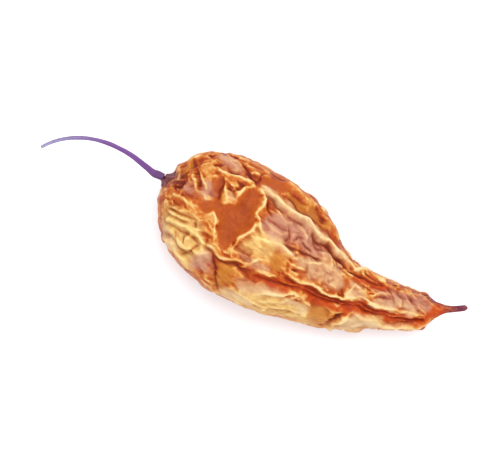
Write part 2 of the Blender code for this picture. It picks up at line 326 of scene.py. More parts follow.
        (-0.6, [(30, -3.5), (36.5, -3), (41.5, -3), (44.5, -2), (47, -0.5), (49.5, -0.5), (52, 0.5),
                (56, 2), (58.5, 2), (60.5, 3.5), (61, 2), (59, 0), (55.5, -1), (52.5, -2), (49.5, -3),
                (46.5, -4), (44.5, -5), (41.5, -6), (39.5, -6.5), (37, -5.5), (34, -5.5), (32, -4.5)]),
        (-0.4, [(33.5, 9.5), (36, 9), (37.5, 7.5), (37, 7), (33.5, 8)]),
        (-0.3, [(42.5, 4), (45.5, 5), (48.5, 5.5), (51, 5.5), (51, 4.5), (48.5, 3), (45, 3), (43, 3)]),
        (-0.1, [(59, 5.5), (61, 6.5), (63.5, 6.5), (62, 4), (60.5, 2), (59.5, 3)]),
    ],
    "gold": [
        (-0.5, [(23, 11), (24, 12), (26.5, 11.5), (28, 12), (31, 11), (33.5, 10), (34.5, 8.5), (32, 9),
                (29.5, 9.5), (26.5, 10), (24, 10.5)]),
        (-0.4, [(25.5, -2), (26, -0.5), (28, 0.5), (29, -0.5), (30, -2.5), (29.5, -3.5), (27.5, -4),
                (26, -3)]),
        (-0.4, [(17, -9), (20, -7), (22, -8), (21, -9.5), (21.5, -11), (20, -13.5), (18.5, -12.5)]),
        (-0.2, [(37.5, -7.5), (39.5, -6.5), (43.5, -6.5), (43.5, -9), (41, -10), (38.5, -9.5)]),
        (-0.2, [(0, 5), (2.5, 8), (3, 7.5), (3, 6), (1.5, 4.5)]),
    ],
    # pinkish-cream patches: partly the skin's own tone and partly a painted reflection of the soft lamps on
    # the wax
    "pink": [
        (0.2, [(21, 5), (22, 7), (24, 7.5), (26, 8), (28.5, 8.5), (30.5, 8), (31.5, 7), (34, 6),
               (36.5, 5), (38, 5), (37.5, 4), (35, 3.5), (33, 3), (30, 3), (27.5, 2.5), (24, 1.5),
               (22, 2), (21, 3.5)]),
        (0.1, [(6, 11), (8, 13), (10.5, 12.5), (12, 11.5), (11, 10), (9, 10), (7.5, 10.5)]),
        (0.0, [(2.5, 2.5), (4.5, 3.5), (5.5, 3), (6, 1.5), (4, 1)]),
        (0.0, [(5.5, 5), (6.5, 6), (10, 3.5), (8.5, 2), (6.5, 2.5)]),
        (0.0, [(12.5, -10.5), (13, -8), (14, -6.5), (15.5, -8.5), (16.5, -11), (15, -12), (12.5, -11.5)]),
        (0.0, [(48.5, 3), (52, 5.5), (57, 7), (60, 6.5), (60, 4.5), (56, 3), (52, 1.5)]),
    ],
    "cream": [
        (0.3, [(31, 0.5), (32, 2.5), (36, 3.5), (40, 4), (42, 1), (41, -1), (36, -1.5), (33, -1)]),
        (0.5, [(17.5, 10.6), (21.5, 10.2), (29, 9.6), (33, 8.2), (38, 7.2), (40, 6.2), (42, 5.6), (42, 4.6),
               (40, 4.8), (38, 5.6), (33, 6.6), (29, 7.9), (24, 8), (20, 8.5), (17.5, 9.2)]),
        (0.2, [(43.5, -0.5), (43.5, 2.5), (45.5, 2), (47, 0.5), (46.5, -0.5), (44, -1.5)]),
        (0.2, [(33, -8.5), (34.5, -7), (36.5, -7), (38, -7.5), (37, -9), (34.5, -9), (33, -9.5)]),
        (0.1, [(20.5, -13), (22.5, -11.5), (26, -11.5), (28.5, -12.5), (24.5, -13.5), (21, -14.5)]),
        (0.4, [(22, -9.6), (24.5, -8.8), (28, -8.4), (31.5, -6.8), (32, -7.8), (29, -9.6), (25, -10.6),
               (22.5, -10.6)]),
        (0.3, [(20, -4.6), (23, -4.2), (26, -4.4), (27.5, -4.6), (26, -5.6), (22, -5.4)]),
        (0.3, [(27, 2.2), (30, 1.6), (31.5, 0.8), (29, 0.2), (26, 0.6), (23.5, 1.2), (24, 2)]),
        (0.3, [(45.5, -5.5), (47, -3.5), (51.5, -3), (56.5, -1.5), (59.5, -0.5), (54, -4), (47.5, -7.5),
               (44, -9.5)]),
        (0.1, [(48.5, 0), (49.5, 2), (52.5, 3.5), (54, 4), (57.5, 3.5), (59, 3.5), (57, 1.5), (54.5, 2),
               (52, 1), (49.5, -0.5)]),
        (0.1, [(2.5, -7.5), (4.5, -7), (6.5, -9), (8.5, -10.5), (8, -11.5), (5, -10)]),
        (0.1, [(13, 4.5), (12.3, 5.5), (13, 6.3), (14, 5.5)]),
    ],
    "yellow": [
        (0.0, [(1.5, -3), (5.5, -2), (9.5, -2), (12, -5.5), (15.5, -7), (11.5, -13), (6, -10.5), (2, -7)]),
        (0.0, [(20, -4), (20, -1), (21, 2.5), (26.5, 2), (27, -2)]),
        (0.0, [(19.5, -14.5), (24, -10), (30, -8.5), (36.5, -7), (40, -7), (44.5, -9), (36, -12),
               (28, -14.5)]),
        (0.0, [(44.5, -8), (46, -5), (53, -2), (54, -3.5), (48, -8)]),
    ],
    "dark": [
        (-0.3, [(-0.5, 2), (-0.5, 3.5), (1.5, 4.5), (2.5, 3), (2.5, 1), (1, 1)]),
    ],
    "plumEdge": [(53, 7.2), (56, 7.7), (58, 7.5), (60.5, 7.2), (62.5, 7.2), (64, 7.6)],
    "mottleSize": 2.6,  # mm across a blotch
    "speckSize": 0.7,
    "wrinkleSize": 2.2,
    "grainDepth": 0.14,
    "roughness": (0.42, 0.62),  # dry wax, from its shinier specks to its duller ones
    "shine": 0.14,
    "paleness": 0.28,  # of the skin where nothing below makes it paler or darker
    # crest, swell and fold make the skin paler, partly its own tone and partly painted highlight; crease
    # makes it darker as painted shade; yellow and the three noises are the skin's own tone
    "paler": [("crest", 0.8), ("swell", 0.3), ("fold", 0.32), ("crease", -0.5), ("yellow", 0.12),
              ("mottle", 0.6), ("speck", 0.4), ("wrinkle", 0.2)],
    "noiseMiddle": -0.415,  # takes out what the three noises add on average
    # the ramp's dark end stands partly for painted shade in creases, its pale end partly for painted
    # highlight on crests
    "shades": [(0.0, "#661c04"), (0.2, "#8f3206"), (0.4, "#a84d14"), (0.55, "#b86a2a"), (0.68, "#c48844"),
               (0.82, "#cea462"), (1.0, "#dabc86")],
    # each tone's dark shade, its pale one, and how much of it shows; the ramp's level picks between the
    # two, so each tone is painted darker in its creases as shade and paler on its crests as highlight
    "toneShades": [("flank", "#94503c", "#d4aa94", 0.35), ("yellow", "#9c5c20", "#e4c67c", 0.85),
                   ("burnt", "#741e02", "#c8641e", 0.95), ("red", "#8e2602", "#c04808", 0.92),
                   ("gold", "#8c440c", "#c8822e", 0.85), ("pink", "#8a4630", "#cca084", 0.85),
                   ("cream", "#a0623a", "#dcc296", 0.75), ("dark", "#4c1618", "#8e3c30", 0.85),
                   ("plum", "#2c0a30", "#5c1650", 0.95)],
}


def spineOf(points, stations):
    # the middle of the pod's form at stations along X
    low, high = points[:, 0].min(), points[:, 0].max()
    centres = []
    for x in np.linspace(low, high, stations):
        near = points[np.abs(points[:, 0] - x) < (high - low) / stations]
        middle = (near.min(axis=0) + near.max(axis=0)) / 2
        centres.append([x, middle[1], middle[2]])
    centres = np.array(centres)
    for _ in range(3):
        centres[1:-1] = (centres[:-2] + 2 * centres[1:-1] + centres[2:]) / 4
    return centres


def castGrid(form, spine, shares, columns):
    # rays from the spine to the form: fanned round the shoulder, then square to the spine
    first, last, fanShare = podSkin["spineStart"], podSkin["spineEnd"], podSkin["fanShare"]
    angles = np.arange(columns) / columns * 2 * math.pi
    grid = np.zeros((len(shares), columns, 3))
    places = np.linspace(0, 1, len(spine))
    slope = np.gradient(spine, axis=0)
    for j, share in enumerate(shares):
        at = first + (last - first) * np.clip((share - fanShare) / (1 - fanShare), 0, 1)
        centre = np.array([np.interp(at, places, spine[:, a]) for a in range(3)])
        forward = unit(np.array([np.interp(at, places, slope[:, a]) for a in range(3)]))
        side, up = sideAndUp(forward)
        lean = -(math.pi / 2) * 0.985 * max(0, 1 - share / fanShare)  # not quite back along the spine
        for i, angle in enumerate(angles):
            out = math.cos(lean) * (math.sin(angle) * up - math.cos(angle) * side) + math.sin(lean) * forward
            grid[j, i] = form.ray_cast(Vector(centre), Vector(out))[0]
    return grid


def evenShares(form, spine, rows):
    # stations whose rings are about equally far apart over the surface
    stations, columns = 161, 24
    shares = np.linspace(0, 1, stations)
    coarse = castGrid(form, spine, shares, columns)
    gaps = np.linalg.norm(np.diff(coarse, axis=0), axis=2).mean(axis=1)
    run = np.concatenate([[0], np.cumsum(gaps)])
    return np.interp(np.linspace(0, run[-1], rows), run, shares)


def addBeak(grid, low):
    # rings that carry the last cast ring out into the thin curved beak, closed by a round end
    count = podSkin["beakRows"]
    middle = grid[-1].mean(axis=0)
    offsets = grid[-1] - middle
    radius = np.linalg.norm(offsets, axis=1).mean()
    path = np.array([middle] + [(low + along, across, podSkin["beakHeight"])
                                for along, across, _ in podSkin["beak"]])
    path[:, 2] = np.linspace(middle[2], podSkin["beakHeight"], len(path))
    widths = np.array([radius] + [width for _, _, width in podSkin["beak"]])
    run = lengthsAlong(path)
    rings = []
    for share in (np.arange(count) + 1) / count:
        at = run[-1] * share
        centre = np.array([np.interp(at, run, path[:, a]) for a in range(3)])
        width = np.interp(at, run, widths)
        left = (run[-1] - at) / widths[-1]
        width *= math.sqrt(max(0.02, 1 - max(0, 1 - left) ** 2))  # never quite to a point
        rings.append(centre + offsets / radius * width)
    return np.concatenate([grid, rings])


def gridNormals(grid):
    around = np.roll(grid, -1, axis=1) - np.roll(grid, 1, axis=1)
    along = np.gradient(grid, axis=0)
    return unit(np.cross(around, along))


def eased(grid, rounds):
    # evens the grid out, ring by ring and along, and keeps its two end rings
    for _ in range(rounds):
        grid = (np.roll(grid, 1, axis=1) + 2 * grid + np.roll(grid, -1, axis=1)) / 4
        grid[1:-1] = (grid[:-2] + 2 * grid[1:-1] + grid[2:]) / 4
    return grid


def sheetWeights(grid):
    # how hard neighbouring points pull each other, and each point's own area, on the form's surface
    roundGap = np.linalg.norm(np.roll(grid, -1, axis=1) - grid, axis=2)
    longGap = np.linalg.norm(np.diff(grid, axis=0), axis=2)
    roundSpan = (roundGap + np.roll(roundGap, 1, axis=1)) / 2
    longSpan = np.concatenate([longGap[:1] / 2, (longGap[1:] + longGap[:-1]) / 2, longGap[-1:] / 2])
    roundPull = (longSpan + np.roll(longSpan, -1, axis=1)) / 2 / roundGap
    longPull = (roundSpan[1:] + roundSpan[:-1]) / 2 / longGap
    return roundPull, longPull, roundSpan * longSpan


def settleSheet(weights, hold, wanted, rounds):
    # the heights of a stretched sheet that is held towards wanted, more where hold is strong, found by
    # conjugate gradients
    roundPull, longPull, _ = weights

    def pulled(height):
        out = hold * height
        step = roundPull * (height - np.roll(height, -1, axis=1))
        out += step - np.roll(step, 1, axis=1)
        step = longPull * (height[:-1] - height[1:])
        out[:-1] += step
        out[1:] -= step
        return out

    scale = hold + roundPull + np.roll(roundPull, 1, axis=1)
    scale[:-1] += longPull
    scale[1:] += longPull
    height = wanted.copy()
    left = hold * wanted - pulled(height)
    scaled = left / scale
    heading = scaled.copy()
    power = (left * scaled).sum()
    for _ in range(rounds):
        pull = pulled(heading)
        step = power / (heading * pull).sum()
        height += step * heading
        left -= step * pull
        scaled = left / scale
        newPower = (left * scaled).sum()
        heading = scaled + newPower / power * heading
        power = newPower
    return height


def blurred(weights, values, reach, rounds=60):
    return settleSheet(weights, weights[2] / reach ** 2, values, rounds)


def lineNearness(flat, points, halfWidth):
    # 1 on a line through the points, falling to 0 on both sides of it and thinning out at its ends
    best = np.full(flat.shape[:-1], 1e9)
    share = np.zeros(flat.shape[:-1])
    points = np.array(points, float)
    lengths = np.linalg.norm(np.diff(points, axis=0), axis=1)
    run = np.concatenate([[0], np.cumsum(lengths)]) / lengths.sum()
    for k in range(len(points) - 1):
        start, step = points[k], points[k + 1] - points[k]
        t = np.clip(((flat - start) @ step) / (step @ step), 0, 1)
        away = np.linalg.norm(flat - start - t[..., None] * step, axis=-1)
        closer = away < best
        best = np.where(closer, away, best)
        share = np.where(closer, run[k] + t * (run[k + 1] - run[k]), share)
    taper = np.clip(np.minimum(share, 1 - share) * 5 + 0.35, 0, 1)  # over the last eighth of each end
    return np.exp(-(best / halfWidth) ** 2) * taper


def patchShare(flat, corners, soft):
    # 1 inside the corners and 0 outside, with a soft edge
    inside = np.zeros(flat.shape[:-1], bool)
    best = np.full(flat.shape[:-1], 1e9)
    corners = np.array(corners, float)
    for start, end in zip(corners, np.roll(corners, -1, axis=0)):
        step = end - start
        t = np.clip(((flat - start) @ step) / (step @ step), 0, 1)
        best = np.minimum(best, np.linalg.norm(flat - start - t[..., None] * step, axis=-1))
        if start[1] != end[1]:
            crosses = (flat[..., 1] < start[1]) != (flat[..., 1] < end[1])
            inside ^= crosses & (flat[..., 0] < start[0] + (flat[..., 1] - start[1]) * step[0] / step[1])
    return smoothStep(np.where(inside, best, -best), -soft, soft)


def crumple(points, count, seed, warp, narrow):
    # a random patchwork: each point's distance from its patch's edge, its patch and the next one
    draw = np.random.default_rng(seed)
    flat = points.reshape(-1, 3)
    bent = flat + warp * waveDrift(flat, 4, range(seed, seed + 3))
    stretch = np.array([narrow, 1, 1])  # below 1, patches run lengthwise
    picks = draw.choice(len(flat), count, replace=False)
    tree = KDTree(count)
    for k, pick in enumerate(picks):
        tree.insert(Vector(flat[pick] * stretch), k)
    tree.balance()
    found = [tree.find_n(Vector(place), 2) for place in bent * stretch]
    shape = points.shape[:-1]
    gap = np.array([(two[1][2] - two[0][2]) / 2 for two in found]).reshape(shape)
    own = np.array([two[0][1] for two in found]).reshape(shape)
    other = np.array([two[1][1] for two in found]).reshape(shape)
    return gap, own, other


def edgeDraw(own, other, count, seed, low, high):
    # one random number for each pair of patches that meet
    table = np.random.default_rng(seed).uniform(low, high, (count, count))
    return table[np.minimum(own, other), np.maximum(own, other)]


def springsFor(core, extraRound, extraLong):
    # each pair of neighbours: spare length and stiffness along, around, across the corners and over two steps
    steps = {(0, 1): (extraRound, 1), (1, 0): (extraLong, 1), (1, 1): (None, 0.6), (1, -1): (None, 0.6),
             (0, 2): (extraRound, 0.3), (2, 0): (extraLong, 0.3)}
    made = []
    for (down, across), (extra, stiffness) in steps.items():
        if extra is None:
            extra = (extraRound + extraLong) / 2
        flat = np.linalg.norm(spread(core, down, across), axis=2)
        rest = flat * (1 + extra[:len(core) - down])
        made.append((down, across, rest.astype(np.float32), stiffness))
    return made


def spread(film, down, across):
    return np.roll(film, -across, axis=1)[down:] - film[:len(film) - down]


def dryFilm(film, core, normal, springs, rounds):
    # lets a film that is too long for its flesh buckle, while it is drawn in and kept off the flesh and floor
    stretch, slip, pull = 0.16, 0.02, 0.03  # shares of each correction that one round makes
    film, core, normal = (a.astype(np.float32) for a in (film, core, normal))
    for _ in range(rounds):
        total = np.zeros_like(film)
        for down, across, rest, stiffness in springs:
            gap = spread(film, down, across)
            length = np.sqrt(np.einsum("ijk,ijk->ij", gap, gap)) + 1e-6
            share = stiffness * (1 - rest / length)
            if across == 2 or down == 2:
                share = np.minimum(share, 0)  # these only resist bending
            push = gap * share[..., None]
            total[:len(film) - down] += push
            total[down:] -= np.roll(push, across, axis=1)
        film += stretch * total
        away = film - core
        height = np.einsum("ijk,ijk->ij", away, normal)
        slide = away - height[..., None] * normal
        wanted = np.clip(height - pull * np.clip(height, 0, 1), 0, podSkin["tallest"])
        film += (wanted - height)[..., None] * normal - slip * slide
        film[..., 2] = np.maximum(film[..., 2], podSkin["table"])
    return film


def finer(values):
    # twice as many rings and columns, with the new ones halfway between the old
    rows, columns = values.shape[:2]
    made = np.zeros((2 * rows - 1, 2 * columns, *values.shape[2:]))
    made[::2, ::2] = values
    made[1::2, ::2] = (values[:-1] + values[1:]) / 2
    made[:, 1::2] = (made[:, ::2] + np.roll(made[:, ::2], -1, axis=1)) / 2
    return made


def shapeFlesh(plain, facesUp, rim, low, weights):
    # the sheet stretched over placed folds on top and random ones over the rest
    seed, area = podSkin["seed"], weights[2]
    stray = sum(far * waveDrift(plain, length, (seed + 1 + step, seed + 2 + step))
                for far, length, step in podSkin["wander"])
    fickle = 0.66 + 0.3 * waveNoise(plain, 3.0, seed + 5)  # folds swell and thin out along their length
    flat = plain[..., :2] - np.array([low, 0]) + stray
    ragged = 0.5 * waveDrift(plain, 2, (seed + 8, seed + 9))
    hold = podSkin["sheetHold"] * area
    wanted = np.zeros(plain.shape[:2])
    tones = {}
    for tone, (soft, firm) in podSkin["tones"].items():
        tones[tone] = np.zeros(plain.shape[:2])
        for rise, corners in podSkin[tone]:
            # crisp edges stay clean, and soft ones are ragged
            share = patchShare(flat + (soft > 0.4) * ragged, corners, soft) * facesUp
            tones[tone] = np.maximum(tones[tone], share)
            hold += firm * area * share
            wanted += firm * area * share * rise
    # fold and crease marks feed the colour: paler along folds as painted highlight, darker along creases as
    # painted shade
    marks = {"fold": np.zeros(plain.shape[:2]), "crease": np.zeros(plain.shape[:2])}
    for sign, mark, lines in ((1, "fold", "ridges"), (-1, "crease", "creases")):
        for height, points in podSkin[lines]:
            near = lineNearness(flat, points, podSkin["lineWidth"]) * facesUp
            hold += podSkin["lineHold"] * near
            wanted += podSkin["lineHold"] * near * sign * height * fickle
            marks[mark] = np.maximum(marks[mark], near * np.clip(height * fickle + 0.3, 0, 1))
    # calm skin has less spare length and fewer small folds
    softly = tones["gold"] + tones["red"] + tones["cream"] + tones["yellow"]
    calm = np.clip(tones["burnt"] + 0.45 * rim + 0.6 * tones["pink"] + 0.5 * softly
                   + 0.7 * blurred(weights, marks["fold"], 0.4), 0, 1)
    tones["plum"] = lineNearness(flat, podSkin["plumEdge"], 0.55)
    shares = {"broad": (1 - facesUp) * (1 - 0.6 * rim),
              "fine": np.clip(1 - calm, 0, 1) * (0.5 + 0.5 * facesUp)}
    for name, layer in podSkin["patchworks"].items():
        count, layerSeed, tall = layer["count"], seed + layer["seed"], layer["tall"]
        gap, own, other = crumple(plain, count, layerSeed, layer["warp"], layer["narrow"])
        height = edgeDraw(own, other, count, layerSeed, -0.8 * tall, tall)
        near = np.exp(-(gap / layer["width"]) ** 2) * shares[name]
        hold += near * layer["hold"]
        wanted += near * layer["hold"] * height
        # the patchwork's edges add to the same marks, so its folds get painted highlight and its creases
        # painted shade
        for mark, sign in (("fold", 1), ("crease", -1)):
            marks[mark] = np.maximum(marks[mark], near * np.clip(sign * height / tall, 0, 1) * 0.8)
    print("pod: folds laid out")
    height = settleSheet(weights, hold, wanted / hold, podSkin["sheetRounds"])
    return height, {**tones, **marks}, calm


def buildPodSkin():
    points, form = formOf(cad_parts["pod"])
    low = points[:, 0].max() - podSkin["tipAlong"]
    spine = spineOf(points, podSkin["spineStations"])
    rows, columns = podSkin["along"] + 1, podSkin["around"]
    shares = evenShares(form, spine, rows - podSkin["beakRows"])
    plain = addBeak(eased(castGrid(form, spine, shares, columns), podSkin["evenRounds"]), low)
    outward = gridNormals(plain)
    print("pod: form sampled,", rows, "by", columns)

    weights = sheetWeights(plain)
    facesUp = smoothStep(outward[..., 2], *podSkin["topFrom"])
    # rim and flank bands come from which way the surface faces; the flank one paints a sheen on the sides
    rim, flank = (np.exp(-((outward[..., 2] - podSkin[band][0]) / podSkin[band][1]) ** 2)
                  for band in ("rim", "flank"))
    height, tones, calm = shapeFlesh(plain, facesUp, rim, low, weights)
    tones["plum"] = np.maximum(tones["plum"] * facesUp, smoothStep(plain[..., 0] - low, *podSkin["plumFrom"]))
    girth = np.linalg.norm(plain - plain.mean(axis=1, keepdims=True), axis=2).mean(axis=1)[:, None]
    thin = smoothStep(girth, *podSkin["beakCalm"])
    neckFade = smoothStep(np.linspace(0, 1, rows), *podSkin["neckCalm"])[:, None]
    fade = thin * (0.25 + 0.75 * neckFade)
    core = plain + (fade * (height - podSkin["sink"]))[..., None] * outward
    core[..., 2] = np.maximum(core[..., 2], podSkin["table"])
    normal = gridNormals(eased(core, 5))
    print("pod: flesh shaped", height.min().round(2), "to", height.max().round(2), "mm")

    extraRound, extraLong = (podSkin[name] * (1 - podSkin["calmest"] * calm) * fade
                             for name in ("extraRound", "extraLong"))
    jitter = podSkin["startLift"] * waveNoise(plain, 1.6, podSkin["seed"] + 30, 40)
    moved = None
    for stride, rounds, share in podSkin["drying"]:
        part = (slice(None, None, stride), slice(None, None, stride))
        base, up = core[part], normal[part]
        springs = springsFor(base, share * extraRound[part], share * extraLong[part])
        lift = (podSkin["startLift"] + jitter[part])[..., None] * up if moved is None else finer(moved)
        film = dryFilm(base + lift, base, up, springs, rounds)
        moved = film - base
        print("pod: skin dried at", base.shape[1], "columns")
    film = eased(film.astype(float), 1)

    # crest and swell: how far the skin stands above its near and wider surroundings; the colour paints what
    # stands up paler as highlight and what sinks darker as shade
    rise = ((film - plain) * outward).sum(axis=2)
    local, wide = (blurred(weights, rise, podSkin[reach]) for reach in ("crestReach", "swellReach"))
    smooth = np.clip(tones["burnt"] + 0.4 * (tones["pink"] + tones["gold"] + tones["red"]), 0, 1)
    values = {"crest": rise - local, "swell": local - wide, "smooth": smooth, "flank": thin * flank, **tones}
    made = meshObject("podSkin", np.concatenate([film.reshape(-1, 3), film[[0, -1]].mean(axis=1)]) * mm,
                      gridFaces(rows, columns))
    for name, field in values.items():
        storeValue(made, name, np.concatenate([field.ravel(), field[[0, -1]].mean(axis=1)]))
    print("pod: skin stands", rise.min().round(2), "to", rise.max().round(2), "mm off its plain form")
    return made


pod = buildPodSkin()
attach(pod, "root")
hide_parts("pod")


def driedSkin():
    # dried chilli skin: a waxy cuticle shrunk on to the flesh, paler on crests and folds, partly its own
    # tone and partly painted highlight, and darker in hollows and creases, partly its own deeper red and
    # partly painted shade, so the eye reads cream crests, orange flats and dark creases
    made, tree, shader = newMaterial("driedChilliSkin")
    place = addNode(tree, "ShaderNodeTexCoord").outputs["Object"]
    # blotches, and specks drawn coarser than the cuticle's own so that they show
    mottle = addNode(tree, "ShaderNodeTexNoise", {"Vector": place, "Scale": 1 / (podSkin["mottleSize"] * mm),
                                                  "Detail": 4.0, "Roughness": 0.6}).outputs["Fac"]
    speck = addNode(tree, "ShaderNodeTexNoise", {"Vector": place, "Scale": 1 / (podSkin["speckSize"] * mm),
                                                 "Detail": 3.0, "Roughness": 0.6}).outputs["Fac"]
    # fine wrinkles about 1 mm apart and longer along the pod: soft dark lines where a noise is at its
    # middle; the darkening is painted shade in the wrinkles
    drawnOut = addNode(tree, "ShaderNodeMapping", {"Vector": place, "Scale": (0.4, 1, 1)}).outputs[0]
    wrinkle = addNode(tree, "ShaderNodeTexNoise", {"Vector": drawnOut, "Detail": 2.0, "Distortion": 0.5,
                                                   "Scale": 1 / (podSkin["wrinkleSize"] * mm)}).outputs["Fac"]
    wrinkle = addNode(tree, "ShaderNodeMath", {0: wrinkle, 1: 0.5}, operation="SUBTRACT").outputs[0]
    wrinkle = addNode(tree, "ShaderNodeMath", {0: wrinkle}, operation="ABSOLUTE").outputs[0]
    wrinkle = addNode(tree, "ShaderNodeMapRange", {"Value": wrinkle, "From Max": 0.15},
                      interpolation_type="SMOOTHSTEP").outputs[0]
    # the taut patches have few of them
    taut = addNode(tree, "ShaderNodeAttribute", attribute_name="smooth").outputs["Fac"]
    taut = addNode(tree, "ShaderNodeMath", {0: taut, 1: 0.8}, operation="MULTIPLY").outputs[0]
    wrinkle = addNode(tree, "ShaderNodeMix", {0: taut, 2: wrinkle, 3: 0.75}).outputs[0]
    noises = {"mottle": mottle, "speck": speck, "wrinkle": wrinkle}
    level = podSkin["paleness"]
    for name, amount in podSkin["paler"]:
        value = noises.get(name) or addNode(tree, "ShaderNodeAttribute", attribute_name=name).outputs["Fac"]
        level = addNode(tree, "ShaderNodeMath", {0: value, 1: amount, 2: level},
                        operation="MULTIPLY_ADD").outputs[0]
    level = addNode(tree, "ShaderNodeMath", {0: level, 1: podSkin["noiseMiddle"]}, operation="ADD",
                    use_clamp=True).outputs[0]
    ramp = addNode(tree, "ShaderNodeValToRGB", {"Fac": level})
    stops = ramp.color_ramp.elements
    for k, (at, shade) in enumerate(podSkin["shades"]):
        stop = stops[k] if k < 2 else stops.new(at)
        stop.position = at
        stop.color = linearColour(shade)
    skin = ramp.outputs["Color"]
    # tone patches give way on folds and creases, so the painted highlight and painted shade there stay
    plainShare = 1.0  # folds and creases keep the ramp's colours
    for name in ("fold", "crease"):
        mark = addNode(tree, "ShaderNodeAttribute", attribute_name=name).outputs["Fac"]
        plainShare = addNode(tree, "ShaderNodeMath", {0: mark, 1: -0.75, 2: plainShare},
                             operation="MULTIPLY_ADD", use_clamp=True).outputs[0]
    for tone, shade, pale, amount in podSkin["toneShades"]:
        own = addNode(tree, "ShaderNodeMix", {0: level, 6: linearColour(shade), 7: linearColour(pale)},
                      data_type="RGBA").outputs[2]
        share = addNode(tree, "ShaderNodeAttribute", attribute_name=tone).outputs["Fac"]
        for factor in (plainShare, amount):
            share = addNode(tree, "ShaderNodeMath", {0: share, 1: factor}, operation="MULTIPLY").outputs[0]
        skin = addNode(tree, "ShaderNodeMix", {0: share, 6: skin, 7: own}, data_type="RGBA").outputs[2]
    rough = addNode(tree, "ShaderNodeMapRange", {"Value": speck, "To Min": podSkin["roughness"][0],
                                                 "To Max": podSkin["roughness"][1]}).outputs[0]
    shader.inputs["Specular IOR Level"].default_value = podSkin["shine"]
    grain = addNode(tree, "ShaderNodeMath", {0: wrinkle, 1: 0.8, 2: speck},
                    operation="MULTIPLY_ADD").outputs[0]
    finishShader(tree, shader, skin, rough, grain, 0.7, podSkin["grainDepth"])
    return made


pod.data.materials.append(driedSkin())

# Stem: a thin dried stalk, ribbed along its length
stemRod = {
    "around": 48,
    "step": 0.16,
    "ribs": 5,
    "ribDepth": 0.13,  # share of the radius
    "ribTurn": 0.05,  # radians for each mm along it
    "rootDepth": 1.3,  # how far it runs on into the calyx
    "evenRounds": 30,
    "shrunk": 0.9,  # share of the plain form's radius
    "flare": 0.22,  # how much it widens into the calyx
    "uneven": 0.05,  # how far its sides go in and out, as a share of its radius
    "seed": 21,
    "fibreSize": 0.5,
    "fibreDepth": 0.08,
    "roughness": 0.6,
    # from its root to its broken end
    "shades": [(0.0, "#57285c"), (0.16, "#6a2e82"), (0.5, "#74428c"), (1.0, "#a7a2c6")],
    # colour of the painted shade in the grooves between the ribs
    "grooveShade": "#3c2350",
}


def rodPath(form, start, heading, step):
    # walks through a thin bent rod and gives its centre line and radii
    line, radii = [], []
    at = start
    spokes = 12
    while True:
        side, up = sideAndUp(heading)
        hits = []
        for angle in np.arange(spokes) * math.pi / (spokes / 2):
            hit = form.ray_cast(Vector(at), Vector(math.cos(angle) * side + math.sin(angle) * up), 3)[0]
            if hit is not None:
                hits.append(hit)
        if len(hits) < spokes:
            break
        centre = np.mean(hits, axis=0)
        line.append(centre)
        radii.append(np.linalg.norm(np.array(hits) - centre, axis=1).mean())
        ahead = form.ray_cast(Vector(centre), Vector(heading), 2 * step)[0]
        if ahead is not None and len(line) > 5:
            break
        if len(line) > 4:
            heading = unit(line[-1] - line[-4])
        at = centre + step * heading
    return np.array(line), np.array(radii)


def buildStemRod():
    points, form = formOf(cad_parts["stem"])
    root = points[points[:, 0] > points[:, 0].max() - 0.12].mean(axis=0)
    inside = root + (-0.4, 0, 0)
    line, radii = rodPath(form, inside, np.array([-1.0, 0, 0]), stemRod["step"])
    for _ in range(stemRod["evenRounds"]):
        line[1:-1] = (line[:-2] + 2 * line[1:-1] + line[2:]) / 4
        radii[1:-1] = (radii[:-2] + 2 * radii[1:-1] + radii[2:]) / 4
    start = unit(line[0] - line[8])
    extra = np.arange(round(stemRod["rootDepth"] / stemRod["step"]), 0, -1)[:, None] * stemRod["step"] * start
    line = np.concatenate([line[0] + extra, line])
    radii = stemRod["shrunk"] * np.concatenate([np.full(len(extra), radii[0]), radii])
    heading = unit(np.gradient(line, axis=0))
    side, up = sideAndUp(heading)
    angles = np.arange(stemRod["around"]) / stemRod["around"] * 2 * math.pi
    run = lengthsAlong(line)[:, None]
    turned = angles + stemRod["ribTurn"] * run
    ribs = 1 - stemRod["ribDepth"] * np.abs(np.cos(stemRod["ribs"] / 2 * turned)) ** 0.7
    grid = line[:, None] + radii[:, None, None] * ribs[..., None] * (
        np.cos(angles)[:, None] * side[:, None] - np.sin(angles)[:, None] * up[:, None])
    stretched = np.stack([0.25 * run + 0 * angles, radii.mean() * np.cos(angles) + 0 * run,
                          radii.mean() * np.sin(angles) + 0 * run], axis=-1)
    shrunk = waveNoise(stretched, 0.6, stemRod["seed"], 30)
    knobbly = waveNoise(line, 3.0, stemRod["seed"] + 1)[:, None]
    outward = unit(grid - line[:, None])
    flare = np.exp(-((run - stemRod["rootDepth"]) / 1.1) ** 2) + 0.16 * np.exp(-((run[-1] - run) / 0.8) ** 2)
    bumps = stemRod["uneven"] * shrunk + stemRod["uneven"] * knobbly
    grid += ((bumps + stemRod["flare"] * flare) * radii[:, None])[..., None] * outward
    # the end broke off rough
    grid[-2:] += 0.12 * waveNoise(grid[-2:], 0.5, stemRod["seed"] + 2)[..., None] * heading[-1]
    rows = len(grid)
    points = np.concatenate([grid.reshape(-1, 3), [line[0], line[-1] - 0.15 * heading[-1]]])
    stem = meshObject("stemRod", points * mm, gridFaces(rows, stemRod["around"]))
    share = np.repeat(run / run[-1], stemRod["around"], axis=1).ravel()
    storeValue(stem, "share", np.concatenate([share, [0, 1]]))
    groove = np.concatenate([((1 - ribs) / stemRod["ribDepth"]).ravel(), [0, 0]])
    storeValue(stem, "groove", groove)
    print("stem:", rows, "rings over", run[-1].round(1), "mm")
    return stem, line, heading, radii


stem, stemLine, stemHeading, stemRadii = buildStemRod()
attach(stem, "root")
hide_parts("stem")


